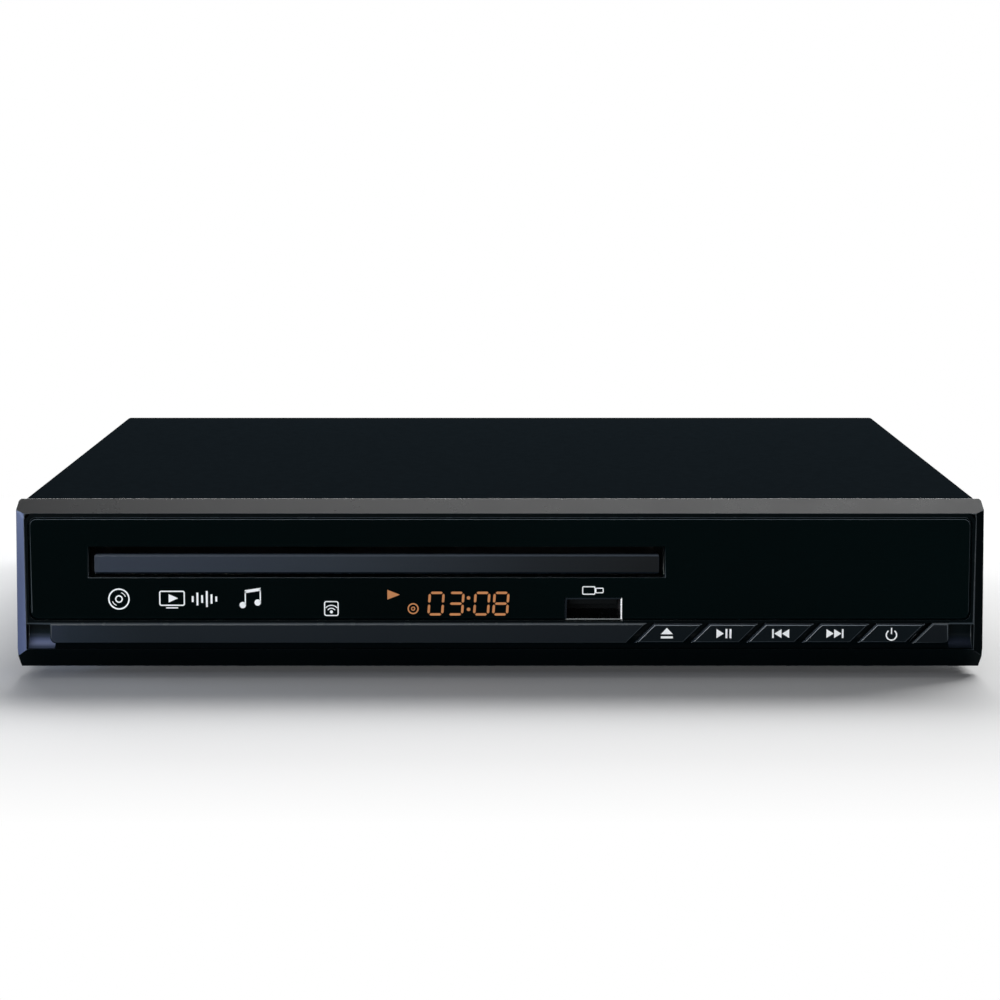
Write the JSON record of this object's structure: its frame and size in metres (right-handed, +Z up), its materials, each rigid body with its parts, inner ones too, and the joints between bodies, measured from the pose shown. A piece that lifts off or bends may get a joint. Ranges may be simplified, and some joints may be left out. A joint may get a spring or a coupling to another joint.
{
  "type": "compact disc player with a motorised tray",
  "caption": "Flat black video disc player: glossy front with a narrow motorised disc tray, amber clock display, USB port and slanted keys under a bevelled metal cover.",
  "frame": {"origin": "on the floor, under the middle of the outline", "axes": "+Z up, the front faces -Y, +X to the right seen from the front"},
  "size_m": [0.2268, 0.2, 0.0416],
  "materials": {
    "body_black": "satin black moulded plastic",
    "window_black": "high gloss black window",
    "cover_black": "fine textured black paint",
    "zinc_steel": "zinc plated sheet",
    "foot_rubber": "soft black rubber",
    "screw_black": "blackened steel",
    "screw_zinc": "zinc plated steel",
    "key_black": "satin black plastic",
    "board_green": "green circuit board",
    "display_dark": "dark display block with seven-segment wells",
    "socket_metal": "plated sheet shell",
    "sensor_dark": "dark infrared filter plastic",
    "switch_grey": "small push switch",
    "tray_black": "textured black plastic",
    "door_black": "satin black plastic",
    "loader_black": "black engineering plastic",
    "clamper_white": "white low friction plastic",
    "motor_metal": "drawn steel can",
    "gear_white": "white low friction plastic",
    "belt_rubber": "square rubber belt",
    "rod_steel": "ground steel rod",
    "sled_grey": "grey filled plastic",
    "lens_dark": "lens holder with a clear lens",
    "parts_black": "chips, capacitors and heat sink",
    "board_brown": "single-sided brown circuit board",
    "ferrite_dark": "ferrite core with a taped winding",
    "ribbon_white": "flat ribbon cable",
    "socket_black": "black socket body",
    "coax_orange": "orange socket body with a plated barrel"
  },
  "bodies": {
    "housing": {"front_panel": "body_black", "fascia_window": "window_black", "top_cover": "cover_black", "base_pan": "zinc_steel", "rear_panel": "zinc_steel", "foot_front_left": "foot_rubber", "foot_front_right": "foot_rubber", "foot_rear_left": "foot_rubber", "foot_rear_right": "foot_rubber", "cover_screws": "screw_black", "base_screws": "screw_zinc", "front_board": "board_green", "front_board_screws": "screw_zinc", "display_module": "display_dark", "usb_socket": "socket_metal", "ir_receiver": "sensor_dark", "tact_switches": "switch_grey", "loader_frame": "loader_black", "clamper_bridge": "zinc_steel", "loading_motor": "motor_metal", "drive_belt": "belt_rubber", "main_board": "board_green", "main_board_parts": "parts_black", "power_board": "board_brown", "power_board_parts": "parts_black", "power_transformer": "ferrite_dark", "board_screws": "screw_zinc", "front_ribbon": "ribbon_white", "hdmi_socket": "socket_metal", "scart_socket": "socket_black", "coax_socket": "coax_orange", "mains_inlet": "socket_black"},
    "tray": {"disc_tray": "tray_black", "tray_door": "door_black"},
    "drive_gear": {"drive_gear": "gear_white"},
    "pulley_gear": {"pulley_gear": "gear_white"},
    "motor_pulley": {"motor_pulley": "gear_white"},
    "cam_slider": {"cam_slider": "gear_white"},
    "clamper": {"clamper": "clamper_white", "clamper_yoke": "zinc_steel"},
    "traverse": {"traverse_frame": "loader_black", "guide_rod_left": "rod_steel", "guide_rod_right": "rod_steel", "spindle_motor": "motor_metal", "sled_motor": "motor_metal"},
    "turntable": {"turntable": "key_black"},
    "pickup": {"pickup_sled": "sled_grey"},
    "lens": {"lens_holder": "lens_dark"},
    "sled_gear": {"sled_gear": "gear_white"},
    "sled_pinion": {"sled_pinion": "gear_white"},
    "key_eject": {"key_eject": "key_black"},
    "key_play": {"key_play": "key_black"},
    "key_previous": {"key_previous": "key_black"},
    "key_next": {"key_next": "key_black"},
    "key_power": {"key_power": "key_black"}
  },
  "joints": [
    {"name": "key_eject_press", "type": "slide", "parent": "housing", "child": "key_eject", "axis": [0, 1, 0], "range_m": [0, 0.0006], "stiffness_N_per_m": 300},
    {"name": "key_play_press", "type": "slide", "parent": "housing", "child": "key_play", "axis": [0, 1, 0], "range_m": [0, 0.0006], "stiffness_N_per_m": 300},
    {"name": "key_previous_press", "type": "slide", "parent": "housing", "child": "key_previous", "axis": [0, 1, 0], "range_m": [0, 0.0006], "stiffness_N_per_m": 300},
    {"name": "key_next_press", "type": "slide", "parent": "housing", "child": "key_next", "axis": [0, 1, 0], "range_m": [0, 0.0006], "stiffness_N_per_m": 300},
    {"name": "key_power_press", "type": "slide", "parent": "housing", "child": "key_power", "axis": [0, 1, 0], "range_m": [0, 0.0006], "stiffness_N_per_m": 300},
    {"name": "tray_slide", "type": "slide", "parent": "housing", "child": "tray", "axis": [0, -1, 0], "range_m": [0, 0.128]},
    {"name": "drive_gear_spin", "type": "hinge", "parent": "housing", "child": "drive_gear", "pos_m": [-0.08075, -0.072, 0.02005], "axis": [0, 0, 1], "range_deg": [-2, 919]},
    {"name": "pulley_gear_spin", "type": "hinge", "parent": "housing", "child": "pulley_gear", "pos_m": [-0.06275, -0.072, 0.02005], "axis": [0, 0, 1], "range_deg": [-1835, 2]},
    {"name": "motor_pulley_spin", "type": "hinge", "parent": "housing", "child": "motor_pulley", "pos_m": [-0.02075, -0.072, 0.0167], "axis": [0, 0, 1], "range_deg": [-6351, 4]},
    {"name": "traverse_tilt", "type": "hinge", "parent": "housing", "child": "traverse", "pos_m": [-0.02875, 0.058, 0.0155], "axis": [1, 0, 0], "range_deg": [0, 3.4]},
    {"name": "cam_slide", "type": "slide", "parent": "housing", "child": "cam_slider", "axis": [1, 0, 0], "range_m": [-0.0001, 0.0201]},
    {"name": "turntable_spin", "type": "hinge", "parent": "traverse", "child": "turntable", "pos_m": [-0.02875, -0.0308, 0.027], "axis": [0, 0, 1], "continuous": true},
    {"name": "clamper_spin", "type": "hinge", "parent": "housing", "child": "clamper", "pos_m": [-0.02875, -0.0308, 0.031], "axis": [0, 0, 1], "continuous": true},
    {"name": "pickup_slide", "type": "slide", "parent": "traverse", "child": "pickup", "axis": [0, 1, 0], "range_m": [0, 0.034]},
    {"name": "sled_gear_spin", "type": "hinge", "parent": "traverse", "child": "sled_gear", "pos_m": [0.00405, 0.0032, 0.018], "axis": [0, 0, 1], "range_deg": [-408, 2]},
    {"name": "sled_pinion_spin", "type": "hinge", "parent": "traverse", "child": "sled_pinion", "pos_m": [0.00405, 0.0134, 0.018], "axis": [0, 0, 1], "range_deg": [-2, 746]},
    {"name": "lens_focus", "type": "slide", "parent": "pickup", "child": "lens", "axis": [0, 0, 1], "range_m": [-0.0004, 0.0004], "stiffness_N_per_m": 60, "springref_m": 0.00006}
  ],
  "couplings": [
    {"joint": "drive_gear_spin", "follows": "tray_slide", "rad_per_m": 125},
    {"joint": "pulley_gear_spin", "follows": "tray_slide", "rad_per_m": -250},
    {"joint": "motor_pulley_spin", "follows": "tray_slide", "rad_per_m": -865.38},
    {"joint": "cam_slide", "follows": "traverse_tilt", "m_per_rad": 0.33703},
    {"joint": "sled_gear_spin", "follows": "pickup_slide", "rad_per_m": -208.33},
    {"joint": "sled_pinion_spin", "follows": "pickup_slide", "rad_per_m": 381.94}
  ]
}
